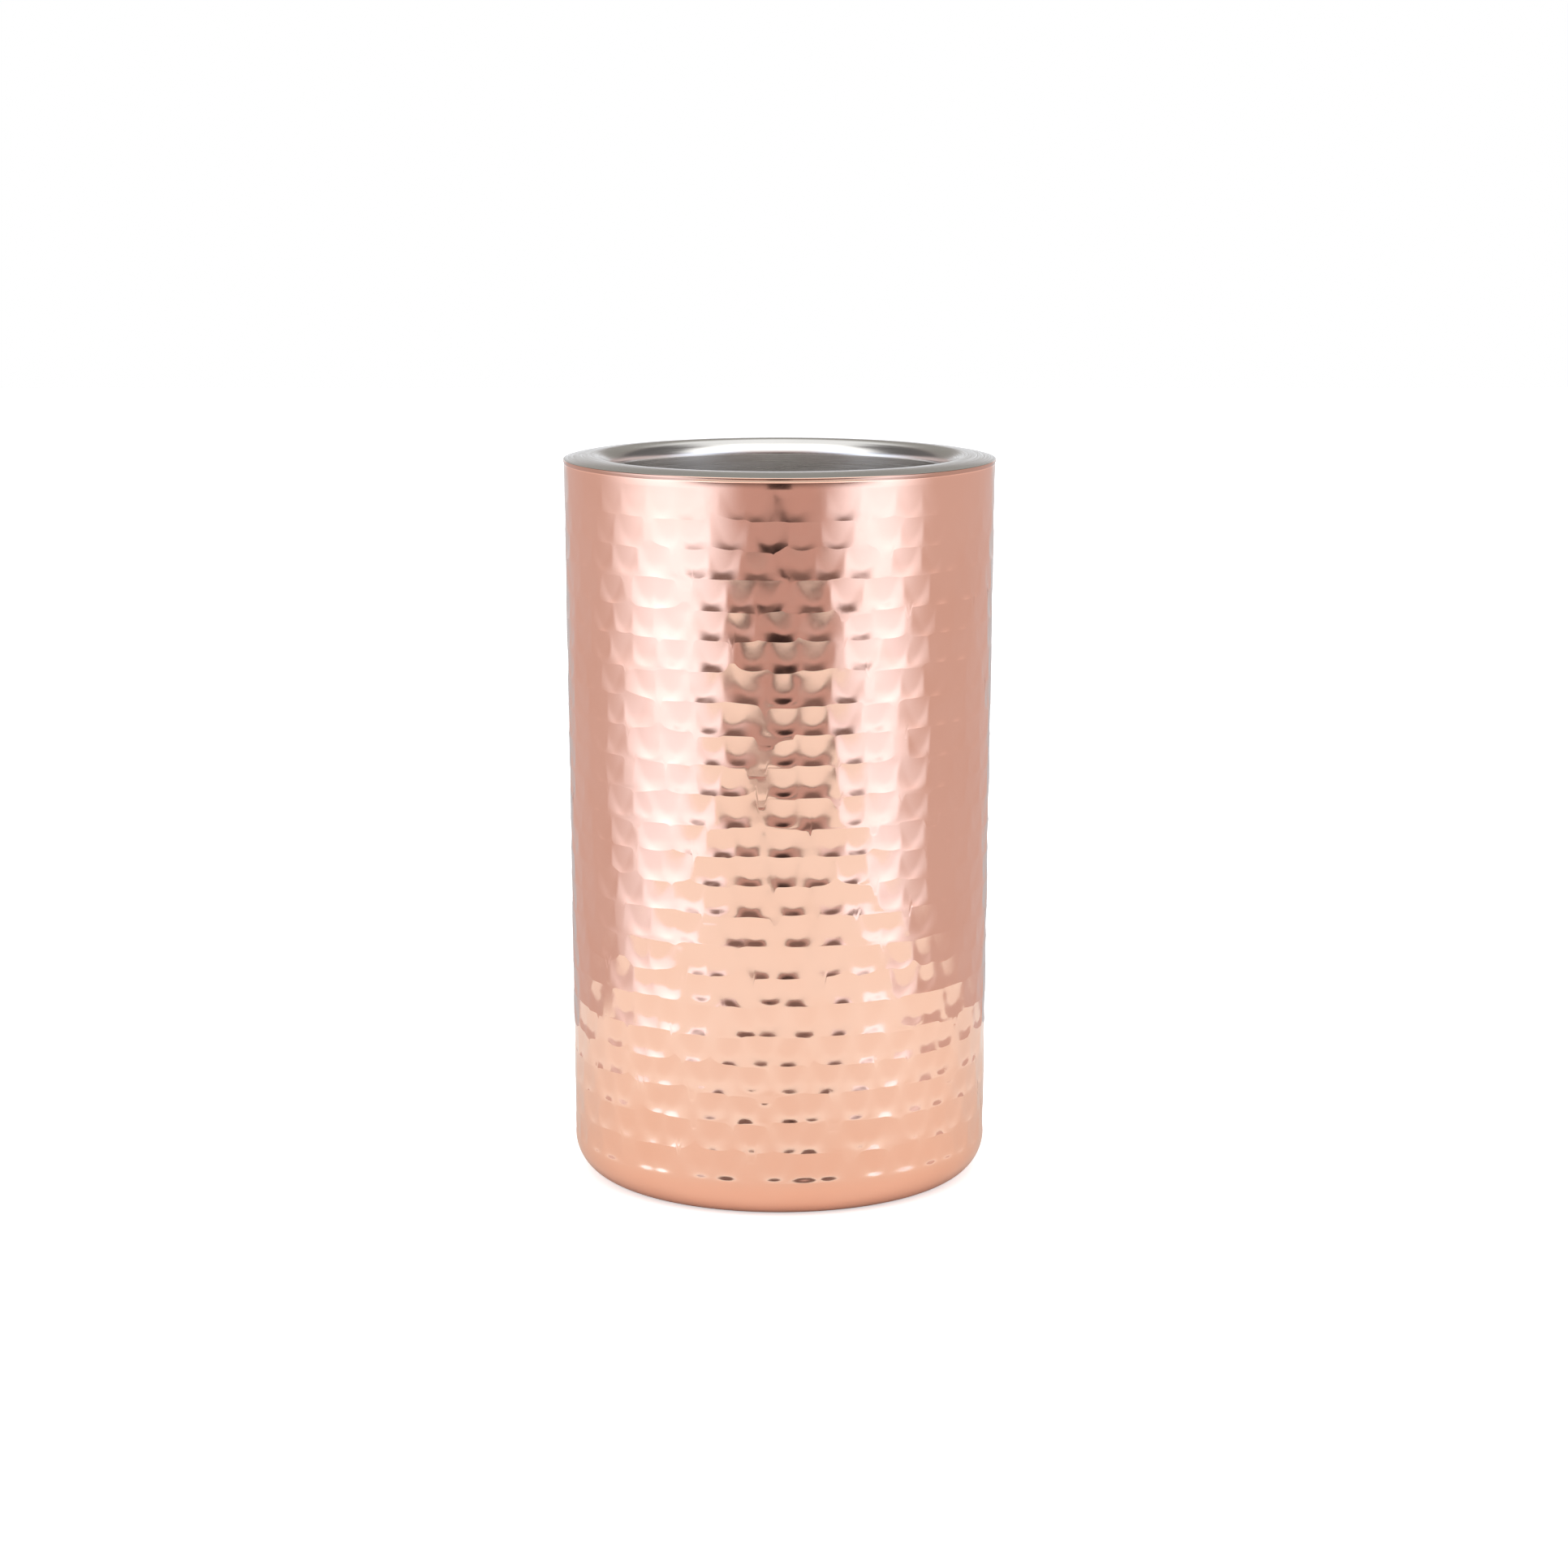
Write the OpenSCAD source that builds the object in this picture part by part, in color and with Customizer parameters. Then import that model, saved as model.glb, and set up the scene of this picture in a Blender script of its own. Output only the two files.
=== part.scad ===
// Double-walled hammered bottle and ice bucket.
// A hammered, copper-plated steel shell and a plain steel liner, joined only at the rim,
// with a sealed air gap between them and a pressed base plate closing the underside.
// Millimetres, +Z up, origin at the centre of the face that it stands on.

/* [Overall] */
// Height to the crest of the lip
height = 201; // [170:1:240]
// Diameter of the rim, where the liner's flange ends
rim_d = 118.5; // [110:0.5:140]
// Diameter of the shell just above its bottom corner
base_d = 114.8; // [106:0.2:136]
// Outside radius of the shell's bottom corner
corner_r = 10.5; // [6:0.5:14]

/* [Sheet metal] */
// Thickness of the hammered shell
shell_t = 0.7; // [0.6:0.05:1]
// Thickness of the liner
liner_t = 0.6; // [0.5:0.05:0.8]
// Thickness of the base plate
plate_t = 0.8; // [0.6:0.05:1]

/* [Lip] */
// Diameter of the mouth, at the top of the liner's straight wall
mouth_d = 94; // [88:0.5:100]
// Radius of the roll from the mouth up to the crest
roll_r = 4.5; // [3:0.25:5]
// Fall of the flange from the crest to its edge
lip_fall = 1; // [0.5:0.1:1.5]
// How far the flange's edge stands out past the shell
lip_proud = 0.2; // [0:0.05:0.4]
// Width of the shell's own lip, turned in under the flange
shell_lip = 4.5; // [3:0.25:5]

/* [Liner] */
// Inside diameter of the liner just above its floor corner
liner_base_d = 91; // [84:0.5:96]
// Inside radius of the liner's floor corner
liner_corner_r = 9; // [5:0.5:12]
// Gap between the liner's floor and the table
floor_gap = 12; // [9:0.5:20]

/* [Base] */
// Diameter of the opening that the base plate is pressed into
opening_d = 80; // [66:0.5:84]
// Outside radius of the bend into that opening
opening_bend_r = 2.2; // [1.6:0.1:2.6]
// Height of the opening's turned-up collar
collar_h = 6; // [5:0.25:7]
// How far the plate's face is set in from the table
plate_recess = 2.6; // [2.5:0.1:3]
// Diameter of the pressed panel in the middle of the plate
panel_d = 54; // [40:1:58]
// Depth of that panel
panel_depth = 1.2; // [0.8:0.1:1.6]

/* [Vent plug] */
// Diameter of the vent hole through the base plate
vent_d = 3.2; // [2.5:0.1:4]
// Diameter of the plug's domed head
plug_head_d = 7; // [6:0.5:9]
// Height of the plug's domed head
plug_head_h = 1.3; // [1:0.1:1.8]

/* [Hidden] */
$fn = 160;
turn_step = 7.5;   // a round stretch of an outline turns by at most this in each of its steps,
length_step = 1.2; // and each of them is at most about this long

rim_r = rim_d / 2;
mouth_r = mouth_d / 2;
shell_r = rim_r - lip_proud;
base_r = base_d / 2;
opening_r = opening_d / 2;
panel_r = panel_d / 2;
vent_r = vent_d / 2;
plug_head_r = plug_head_d / 2;
floor_z = floor_gap + liner_t;   // the liner's inside floor
panel_z = plate_recess + panel_depth;

shell_bend_r = 1.2;   // outside radius of the bend from the shell's wall into its lip
plate_bend_r = 1.6;   // outside radius of the bend from the base plate into its skirt
upset_r = 0.6;        // how far the plug's inner end is spread past the vent hole
upset_h = 0.6;

copper = [0.86, 0.55, 0.42];
steel = [0.72, 0.72, 0.70];
weld_grey = [0.60, 0.59, 0.57];

// Every centre and outline point below is [distance from the axis, height].

function toward(angle, distance) = distance * [cos(angle), sin(angle)];

function steps(radius, turn) =
    ceil(max(abs(turn) / turn_step, abs(turn) * PI / 180 * radius / length_step));

// Points along an arc, both ends included unless skip leaves the first one out.
function arc(centre, radius, from, to, skip = 0) =
    let (n = steps(radius, to - from))
        [for (i = [skip : n]) centre + toward(from + (to - from) * i / n, radius)];

function part(points, first, last) = [for (i = [first : last]) points[i]];

function backwards(points) = [for (i = [len(points) - 1 : -1 : 0]) points[i]];

// A wall is the line that two round bends share. Its outward normal has this angle,
// where across is how much further out the wall is from the lower bend's centre.
function normal_angle(low, high, across) =
    let (d = high - low) atan2(d[1], d[0]) - acos(across / norm(d));

// The flange's upper face is one arc that is level at the crest.
crest_r = mouth_r + roll_r;
roll_centre = [crest_r, height - roll_r];
flange_run = rim_r - crest_r;
flange_r = (pow(flange_run, 2) + pow(lip_fall, 2)) / (2 * lip_fall);
flange_centre = [crest_r, height - flange_r];
flange_edge = acos(flange_run / flange_r);
under_r = flange_r - liner_t;   // the flange's underside, which the shell's lip lies against

// The bend at the shell's top touches the flange's underside where the lip begins.
shell_bend_x = shell_r - shell_bend_r;
shell_bend_rise = sqrt(pow(under_r - shell_bend_r, 2) - pow(shell_bend_x - crest_r, 2));
shell_bend = [shell_bend_x, flange_centre[1] + shell_bend_rise];
lip_start = atan2(shell_bend_rise, shell_bend_x - crest_r);
lip_end = acos((shell_r - shell_lip - crest_r) / under_r);

shell_corner = [base_r - corner_r, corner_r];
shell_normal = normal_angle(shell_corner, shell_bend, corner_r - shell_bend_r);
opening_bend = [opening_r + opening_bend_r, opening_bend_r];

liner_corner = [liner_base_d / 2 - liner_corner_r, floor_z + liner_corner_r];
liner_normal = normal_angle(liner_corner, roll_centre, liner_corner_r + roll_r);

plate_bend = [opening_r - plate_bend_r, plate_recess + plate_bend_r];

// The face of the shell's sheet that is this deep below its outer face, from lip to collar.
function shell_face(depth) = concat(
    arc(flange_centre, under_r - depth, lip_end, lip_start),
    arc(shell_bend, shell_bend_r - depth, lip_start, shell_normal, skip = 1),
    arc(shell_corner, corner_r - depth, shell_normal, -90),
    arc(opening_bend, opening_bend_r - depth, 270, 180),
    [[opening_r + depth, collar_h]]);

// The face of the liner's sheet that is this deep below its inner face, from floor to flange.
function liner_face(depth) = concat(
    [[0, floor_z - depth]],
    arc(liner_corner, liner_corner_r + depth, -90, liner_normal),
    arc(roll_centre, roll_r - depth, 180 + liner_normal, 90),
    arc(flange_centre, flange_r - depth, 90, lip_end, skip = 1),
    arc(flange_centre, flange_r - depth, lip_end, lip_start, skip = 1),
    arc(flange_centre, flange_r - depth, lip_start, flange_edge, skip = 1));

// The face of the base plate's sheet that is this far in from its underside, out to the skirt.
function plate_face(depth) = concat(
    [[vent_r, panel_z + depth]],
    [[panel_r, panel_z + depth]],
    [[panel_r + panel_depth, plate_recess + depth]],
    arc(plate_bend, plate_bend_r - depth, -90, 0),
    [[opening_r - depth, collar_h]]);

module sheet(face, opposite_face) {
    rotate_extrude() polygon(concat(face, backwards(opposite_face)));
}

module outer_shell() {
    color(copper) sheet(shell_face(0), shell_face(shell_t));
}

module inner_liner() {
    color(steel) sheet(liner_face(0), liner_face(liner_t));
}

module base_plate() {
    color(steel) sheet(plate_face(0), plate_face(plate_t));
}

// A fillet in the groove between the flange's underside and the shell's top bend, plated over.
module rim_weld() {
    under_flange = arc(flange_centre, under_r, lip_start, flange_edge, skip = 1);
    round_bend = part(arc(shell_bend, shell_bend_r, lip_start, shell_normal), 4, 8);
    color(copper)
        rotate_extrude()
            polygon(concat(round_bend, backwards(under_flange)));
}

// A fillet in the groove between the opening's collar and the base plate's bend.
module base_weld() {
    round_bend = part(arc(plate_bend, plate_bend_r, -90, 0), 4, 9);
    low = round_bend[0];
    high = round_bend[len(round_bend) - 1];
    color(weld_grey)
        rotate_extrude()
            polygon(concat(round_bend, [[opening_r, high[1]], [opening_r, low[1]]]));
}

// A plug in the vent: a domed head outside, a shank, and an inner end that is spread.
module vent_plug() {
    dome_r = (pow(plug_head_r, 2) + pow(plug_head_h, 2)) / (2 * plug_head_h);
    dome_z = panel_z - plug_head_h;
    color(steel)
        rotate_extrude() {
            intersection() {
                translate([0, dome_z + dome_r]) circle(dome_r);
                translate([0, dome_z]) square([plug_head_r, plug_head_h]);
            }
            translate([0, panel_z]) square([vent_r, plate_t]);
            translate([0, panel_z + plate_t]) square([vent_r + upset_r, upset_h]);
        }
}

outer_shell();
inner_liner();
base_plate();
rim_weld();
base_weld();
vent_plug();
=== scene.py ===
"""Builds the looks of a double-walled hammered ice bucket around its fixed frame.

Each piece is turned about the frame's Z axis: a hammered copper shell, a brushed steel liner
with a wide lip, a pressed base plate, two weld beads and a vent plug. Lengths are in metres.
An outline point is (distance from the axis, height), and an angle is in degrees from the X axis.
"""

import math

import bmesh
import bpy
import numpy as np
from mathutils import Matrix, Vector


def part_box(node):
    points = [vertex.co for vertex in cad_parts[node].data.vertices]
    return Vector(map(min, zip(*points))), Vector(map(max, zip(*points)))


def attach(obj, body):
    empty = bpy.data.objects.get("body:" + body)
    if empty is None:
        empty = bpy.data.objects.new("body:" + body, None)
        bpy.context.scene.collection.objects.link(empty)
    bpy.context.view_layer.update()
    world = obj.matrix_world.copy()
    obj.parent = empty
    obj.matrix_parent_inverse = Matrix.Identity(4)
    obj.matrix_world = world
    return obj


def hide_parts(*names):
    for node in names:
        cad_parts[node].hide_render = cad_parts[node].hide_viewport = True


bl_info = {
    "name": "Hammered ice bucket",
    "version": (1, 0, 0),
    "blender": (4, 5, 0),
    "location": "View3D > Sidebar > Ice Bucket",
    "description": "Builds a hammered copper ice bucket with a brushed steel liner, and its studio",
    "category": "Object",
}

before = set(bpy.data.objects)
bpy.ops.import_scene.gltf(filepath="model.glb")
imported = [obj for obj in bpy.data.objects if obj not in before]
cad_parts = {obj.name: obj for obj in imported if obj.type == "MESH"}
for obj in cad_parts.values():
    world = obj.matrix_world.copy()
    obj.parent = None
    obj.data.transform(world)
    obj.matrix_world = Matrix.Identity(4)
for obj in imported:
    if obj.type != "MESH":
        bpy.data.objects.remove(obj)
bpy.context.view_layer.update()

BODY = "root"
MM = 0.001

SHELL_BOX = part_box("outer_shell")
LINER_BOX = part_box("inner_liner")
PLATE_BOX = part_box("base_plate")
PLUG_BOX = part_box("vent_plug")


def length(name, description, default, low=0.0, high=3.0):
    """A size that the user can change, in metres."""
    return bpy.props.FloatProperty(name=name, description=description, default=default, min=low,
                                   max=high, precision=5, subtype="DISTANCE", unit="LENGTH")


def share(name, description, default):
    """An amount from 0 to 1."""
    return bpy.props.FloatProperty(name=name, description=description, default=default, min=0.0,
                                   max=1.0, subtype="FACTOR")


def tint(name, description, default):
    """A colour."""
    return bpy.props.FloatVectorProperty(name=name, description=description, default=default,
                                         size=3, min=0.0, max=1.0, subtype="COLOR")


def glow(name, description, default):
    """The colour of a light, which may be brighter than white."""
    return bpy.props.FloatVectorProperty(name=name, description=description, default=default,
                                         size=3, min=0.0, max=20.0, subtype="COLOR")


def count(name, description, default, low=1, high=4000):
    """A whole number."""
    return bpy.props.IntProperty(name=name, description=description, default=default, min=low,
                                 max=high)


class ShellSettings(bpy.types.PropertyGroup):
    """Sizes of the hammered shell."""
    sheet: length("Sheet", "Thickness of the shell's sheet", 0.7 * MM)
    base_radius: length("Base radius", "Radius of the shell above its bottom corner", 57.4 * MM)
    corner_radius: length("Corner radius", "Outside radius of the bottom corner", 10.5 * MM)
    top_bend: length("Top bend", "Outside radius of the bend under the lip", 1.2 * MM)
    lip_width: length("Lip width", "Width of the lip turned in under the flange", 4.5 * MM)
    opening_radius: length("Opening radius", "Radius of the opening underneath", 40 * MM)
    opening_bend: length("Opening bend", "Outside radius of the bend into the opening", 2.2 * MM)
    collar_height: length("Collar height", "Height of the opening's collar", 6 * MM)
    columns: count("Columns", "Mesh columns round the shell", 720, 64)
    ring_steps: count("Ring steps", "Mesh rows in each ring of dents", 14, 4, 40)
    backing: length("Backing", "Extra depth of the sheet's hidden face behind the dents", 0.35 * MM)


class HammerSettings(bpy.types.PropertyGroup):
    """How the shell was hammered."""
    rows: count("Rows", "Rings of hammer dents", 23, 1, 60)
    dents: count("Dents", "Dents in each ring", 38, 6, 120)
    low_edge: length("Low edge", "Height where the hammering starts", 10.6 * MM)
    high_edge: length("High edge", "Height where the hammering stops", 197.0 * MM)
    depth: length("Depth", "Usual depth of a dent below the shell's nominal face", 0.28 * MM)
    curl: length("Curl", "How much shallower its lower edge is", 0.25 * MM)
    curl_height: length("Curl height", "Height of its lowest point above that edge", 2.7 * MM)
    lean: bpy.props.FloatProperty(name="Lean", description="Slope of its face above that point",
                                  default=0.026, min=0.0, max=0.2, precision=3)
    upright: length("Upright", "Radius of its face along the shell's height", 158 * MM)
    side: length("Side", "Radius of its face round the shell", 120 * MM)
    unevenness: share("Unevenness", "How much dents differ in place and shape", 1.0)
    mark_angle: bpy.props.FloatProperty(name="Mark angle", description="Where some rings start",
                                        default=math.radians(-86.1), subtype="ANGLE")
    mark_low: length("Mark low", "Lowest height of the rings that start at the mark", 105 * MM)
    mark_high: length("Mark high", "Greatest height of those rings", 152 * MM)
    seed: count("Seed", "Seed of the unevenness", 7, 0, 9999)


class LinerSettings(bpy.types.PropertyGroup):
    """Sizes of the liner."""
    sheet: length("Sheet", "Thickness of the liner's sheet", 0.6 * MM)
    mouth_radius: length("Mouth radius", "Radius at the top of the straight wall", 47 * MM)
    roll: length("Roll", "Radius of the roll from the mouth to the crest", 4.5 * MM)
    lip_fall: length("Lip fall", "Fall of the flange from the crest to its edge", 1 * MM)
    base_radius: length("Base radius", "Inside radius above the floor's corner", 45.5 * MM)
    corner_radius: length("Corner radius", "Inside radius of the floor's corner", 9 * MM)
    edge_radius: length("Edge radius", "Rounding of the flange's upper edge", 0.2 * MM)


class BaseSettings(bpy.types.PropertyGroup):
    """Sizes of the base plate, its welds and its plug."""
    sheet: length("Sheet", "Thickness of the base plate", 0.8 * MM)
    bend: length("Bend", "Outside radius of the plate's bend into its skirt", 1.6 * MM)
    panel_radius: length("Panel radius", "Radius of the raised panel", 27 * MM)
    panel_depth: length("Panel depth", "Depth of the raised panel", 1.2 * MM)
    vent_radius: length("Vent radius", "Radius of the vent hole", 1.6 * MM)
    head_height: length("Head height", "Height of the plug's domed head", 1.3 * MM)
    spread: length("Spread", "How far the plug's inner end is spread, and its thickness", 0.6 * MM)


class FinishSettings(bpy.types.PropertyGroup):
    """Colours of the metals."""
    copper: tint("Copper", "Bright copper plate", (0.955, 0.610, 0.470))
    copper_warm: tint("Warm copper", "Slightly tarnished copper plate", (0.93, 0.570, 0.425))
    steel: tint("Liner steel", "Satin steel of the liner", (0.690, 0.672, 0.645))
    plate_steel: tint("Plate steel", "Mill finish steel of the base plate", (0.54, 0.53, 0.52))
    weld: tint("Weld", "Dressed weld bead", (0.42, 0.40, 0.38))


class StudioSettings(bpy.types.PropertyGroup):
    """The table, the light and the camera. Light colours may be brighter than white."""
    camera_distance: length("Camera distance", "Camera to the bucket's axis, level", 1.0242)
    camera_height: length("Camera height", "Camera above the table", 0.2935)
    camera_pitch: bpy.props.FloatProperty(name="Camera pitch", description="Camera's tilt down",
                                          default=math.radians(10.207), subtype="ANGLE")
    camera_lens: bpy.props.FloatProperty(name="Lens", description="Focal length in millimetres",
                                         default=85.86, min=10.0, max=300.0)
    camera_shift: bpy.props.FloatProperty(name="Shift", description="Sideways shift of the frame",
                                          default=0.0029, min=-0.1, max=0.1)
    table_front: length("Table front", "Table's edge in front of the bucket's axis", 0.66)
    table_side: length("Table side", "Half the width of the table's front edge", 0.34)
    table_back: length("Table back", "Back of the table's rounded end", 0.16)
    shade_front: length("Shade in front", "Dark floor that shows in front of the table", 0.10)
    # Next to the bucket the table's colour is painted warmer and darker, as painted copper light
    # and painted shade.
    table_near_painted_light_and_shade: tint("Table near", "Table next to the bucket, where copper warms it",
                     (0.78, 0.68, 0.61))
    table_far: tint("Table far", "Table away from the bucket", (0.93, 0.95, 0.93))
    floor_size: length("Floor", "Half the width of the floor that the camera sees", 3.0)
    card_width: length("Card width", "Width of the dark card at the camera", 0.22)
    card_low: length("Card low", "Height of that card's low edge", 0.08)
    card_high: length("Card high", "Height of that card's high edge", 0.36)
    boxes: glow("Soft boxes", "Light of the two tall soft boxes", (1.42, 1.55, 1.84))
    ceiling: glow("Ceiling box", "Light of the high soft box in front", (2.0, 2.0, 2.0))
    room_front: glow("Room in front", "Wall in front of the bucket", (0.58, 0.43, 0.42))
    room_dark: glow("Dark band", "Band of that wall at the height of the table",
                    (0.20, 0.15, 0.145))
    room_rear: glow("Room", "Walls to the sides and behind", (0.66, 0.54, 0.53))
    room_back: glow("Back wall", "Upper part of the wall behind", (0.36, 0.345, 0.32))
    room_high: glow("Room high", "Upper part of the room", (1.25, 1.26, 1.27))
    room_flank: glow("Room flanks", "Dim upper parts of the room to the left and right",
                     (0.15, 0.14, 0.14))
    horizon: glow("Backdrop", "Pale backdrop low down behind", (1.10, 1.13, 1.18))


GROUPS = (ShellSettings, HammerSettings, LinerSettings, BaseSettings, FinishSettings,
          StudioSettings)


def settings(group):
    """The scene's copy of one group of settings."""
    return getattr(bpy.context.scene, group.__name__.lower())


# Outlines -----------------------------------------------------------------------------------

def arc(centre, radius, start, end, steps, skip=0):
    """Points of an arc, both ends included unless skip leaves the first ones out."""
    angles = np.radians(np.linspace(start, end, steps + 1))[skip:]
    return [(centre[0] + radius * math.cos(a), centre[1] + radius * math.sin(a)) for a in angles]


def normal_angle(low, high, across):
    """The angle of the outward normal of the line that two round bends share."""
    dr, dz = high[0] - low[0], high[1] - low[1]
    return math.degrees(math.atan2(dz, dr) - math.acos(across / math.hypot(dr, dz)))


def flange_arc(liner, rim_radius, height):
    """The flange's upper face: its centre, its radius and the angle of its outer edge."""
    crest = liner.mouth_radius + liner.roll
    run = rim_radius - crest
    radius = (run ** 2 + liner.lip_fall ** 2) / (2 * liner.lip_fall)
    return (crest, height - radius), radius, math.degrees(math.acos(run / radius))


# Meshes -------------------------------------------------------------------------------------

def piece(name, mesh, material, slot, *nodes):
    """Puts a mesh in the scene as a piece of the bucket that stands for CAD nodes."""
    obj = bpy.data.objects.new(name, mesh)
    bpy.context.scene.collection.objects.link(obj)
    mesh.materials.append(material)
    mesh.shade_smooth()
    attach(obj, BODY)
    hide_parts(*nodes)
    return obj


def ring_mesh(name, rings, closed):
    """A mesh of rings, each an array (columns, 3) or one point on the axis."""
    vertices, starts, faces = [], [], []
    total = 0
    for ring in rings:
        ring = np.atleast_2d(ring)
        starts.append((total, len(ring)))
        vertices.append(ring)
        total += len(ring)
    pairs = list(zip(starts, starts[1:]))
    if closed:
        pairs.append((starts[-1], starts[0]))
    for (a, many_a), (b, many_b) in pairs:
        columns = max(many_a, many_b)
        here = np.arange(columns)
        after = np.roll(here, -1)
        if many_a == 1:
            faces += np.stack([np.full(columns, a), b + after, b + here], 1).tolist()
        elif many_b == 1:
            faces += np.stack([a + here, a + after, np.full(columns, b)], 1).tolist()
        else:
            faces += np.stack([a + here, a + after, b + after, b + here], 1).tolist()
    mesh = bpy.data.meshes.new(name)
    mesh.from_pydata(np.concatenate(vertices).tolist(), [], faces)
    mesh.validate()
    return mesh


def face_outward(mesh):
    """Turns every face to point out of the closed surface."""
    work = bmesh.new()
    work.from_mesh(mesh)
    bmesh.ops.recalc_face_normals(work, faces=work.faces)
    if work.calc_volume(signed=True) < 0:
        bmesh.ops.reverse_faces(work, faces=work.faces)
    work.to_mesh(mesh)
    work.free()


def turned(name, outline, columns=256, closed=False, sharp=30.0, ripple=0.0):
    """A turned piece. The outline starts and ends on the axis, or it closes on itself.

    Where the outline's points have a third value, it is their share of an uneven ripple.
    """
    angles = np.linspace(0, 2 * math.pi, columns, endpoint=False)
    random = np.random.default_rng(len(name))
    waves = sum(np.sin(angles * turns + random.uniform(0, 6)) for turns in (61, 97, 143, 205)) / 4
    rings = []
    for r, z, *rest in outline:
        if r < 1e-9:
            rings.append(np.array([0.0, 0.0, z]))
        else:
            reach = r + ripple * waves * sum(rest)
            rings.append(np.stack([reach * np.cos(angles), reach * np.sin(angles),
                                   np.full(columns, z)], 1))
    mesh = ring_mesh(name, rings, closed)
    face_outward(mesh)
    mesh.set_sharp_from_angle(angle=math.radians(sharp))
    return mesh


def rounded(before, corner, after, radius, steps=4):
    """Points that round off a corner of an outline."""
    before, corner, after = (np.array(point) for point in (before, corner, after))
    start = corner + (before - corner) * radius / np.linalg.norm(before - corner)
    end = corner + (after - corner) * radius / np.linalg.norm(after - corner)
    return [tuple((1 - t) ** 2 * start + 2 * t * (1 - t) * corner + t * t * end)
            for t in np.linspace(0, 1, steps + 1)]


# Hammering ----------------------------------------------------------------------------------

class Hammering:
    """Rings of dents, as a depth below the shell's nominal face.

    A dent's face leans a little downwards, and curls out at its lower edge, over a short height
    in the middle of the dent and a greater one to its sides. Rings meet in straight ridges, and
    the dents are faint under the rim and grow stronger downwards.
    """
    TURN_IN = 0.4 * MM       # height over which a dent's face turns to its lean
    WIDEN = 0.4 / MM         # how fast the curl's height grows to the sides
    RIDGE = 0.02 * MM        # how much two dents' meeting edge is rounded
    SETTLE = 1.2 * MM        # height over which the dents fade out at the ends of the hammering
    FAINT = (0.4, 0.2)       # strength of the top ring, and what each ring below it gains,
    STRONG = (0.9, 0.012)    # but no ring is stronger than this line allows
    SPREAD = 0.07            # how much ring heights differ, as a share of the pitch
    STRAY = 0.3              # how much dents' places differ, as a share of their step
    DEPTHS = 0.07            # how much dents' depths, side radii and curls differ, as shares,
    SIDES = 0.2
    CURLS = 0.11
    RANGE = (-0.6, 0.8)      # and the most that any one of them may differ
    TURN = 0.010             # how much dents lean to a side and up or down, as slopes
    TIP = 0.005
    LAST_STRAY = 0.2         # place of the last dent in a ring that starts at the mark
    FIRST_DEEPER = 1.12      # depth of the first dent in such a ring, and of the last one
    LAST_SHALLOWER = 0.96
    EASE = 0.02              # a dent's sides curve no less than at this share of its height
    RIDGE_REACH = 0.3        # how far a ridge may stray from its ring's edge, in pitches
    HALVINGS = 24            # steps of the search for a ridge's height

    def __init__(self, hammer, radius):
        self.hammer = hammer
        self.radius = radius
        random = np.random.default_rng(hammer.seed)
        uneven = hammer.unevenness
        rows = hammer.rows
        every = (rows, hammer.dents)
        self.pitch = (hammer.high_edge - hammer.low_edge) / rows
        edges = np.linspace(hammer.low_edge, hammer.high_edge, rows + 1)
        spread = random.uniform(-self.SPREAD, self.SPREAD, rows - 1)
        edges[1:-1] += spread * self.pitch * uneven
        self.edges = edges
        self.step = 2 * math.pi / hammer.dents

        middles = (edges[1:] + edges[:-1]) / 2
        marked = (middles > hammer.mark_low) & (middles < hammer.mark_high)
        self.start = np.where(marked, hammer.mark_angle, random.uniform(0, self.step, rows))
        places = self.start[:, None] + self.step * (np.arange(hammer.dents) + 0.5)[None, :]
        stray = random.uniform(-self.STRAY, self.STRAY, every)
        stray[marked, 0] = 0.0
        stray[marked, -1] = self.LAST_STRAY
        self.angle = places + stray * self.step * uneven

        def varied(usual, spread):
            return usual * (1 + np.clip(random.normal(0, spread, every), *self.RANGE) * uneven)

        self.depth = varied(hammer.depth, self.DEPTHS)
        self.side = varied(hammer.side, self.SIDES)
        self.curl_height = varied(hammer.curl_height, self.CURLS)
        self.turn = random.normal(0, self.TURN, every) * uneven
        self.tip = random.normal(0, self.TIP, every) * uneven
        self.depth[marked, 0] *= self.FIRST_DEEPER
        self.depth[marked, -1] *= self.LAST_SHALLOWER
        above = np.arange(rows)[::-1]   # how many rings lie above each one
        self.strength = np.minimum(self.FAINT[0] + self.FAINT[1] * above,
                                   self.STRONG[0] + self.STRONG[1] * above)

    def dent(self, row, j, angle, height):
        """Depth of the dents numbered j in a ring."""
        hammer = self.hammer
        x = self.radius * ((angle - self.angle[row, j] + math.pi) % (2 * math.pi) - math.pi)
        rise = height - self.edges[row]
        z = np.maximum(rise - self.curl_height[row, j], 0)
        face = (hammer.lean * (z - self.TURN_IN * (1 - np.exp(-z / self.TURN_IN)))
                + z ** 2 / (2 * hammer.upright))
        reach = self.curl_height[row, j] + self.WIDEN * x ** 2
        curl = hammer.curl * (np.maximum(reach - rise, 0) / reach) ** 2
        inside = np.sin(math.pi * np.clip(rise / self.pitch, self.EASE, 1 - self.EASE))
        across = x ** 2 / (2 * self.side[row, j]) - self.turn[row, j] * x
        return (self.depth[row, j] + self.tip[row, j] * (rise - self.pitch / 2) - face - curl
                - across * inside)

    def ring_depth(self, row, angle, height):
        """Depth of one ring's dents."""
        nearest = np.floor((angle - self.start[row]) / self.step).astype(int)
        found = np.sort([self.dent(row, (nearest + offset) % self.hammer.dents, angle, height)
                         for offset in (-2, -1, 0, 1, 2)], axis=0)
        best, second = found[-1], found[-2]
        near = np.clip(self.RIDGE - (best - second), 0, None)
        inside = np.minimum(height - self.edges[0], self.edges[-1] - height) / self.SETTLE
        return (best + near ** 2 / (4 * self.RIDGE)) * np.clip(inside, 0, 1) * self.strength[row]

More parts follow.
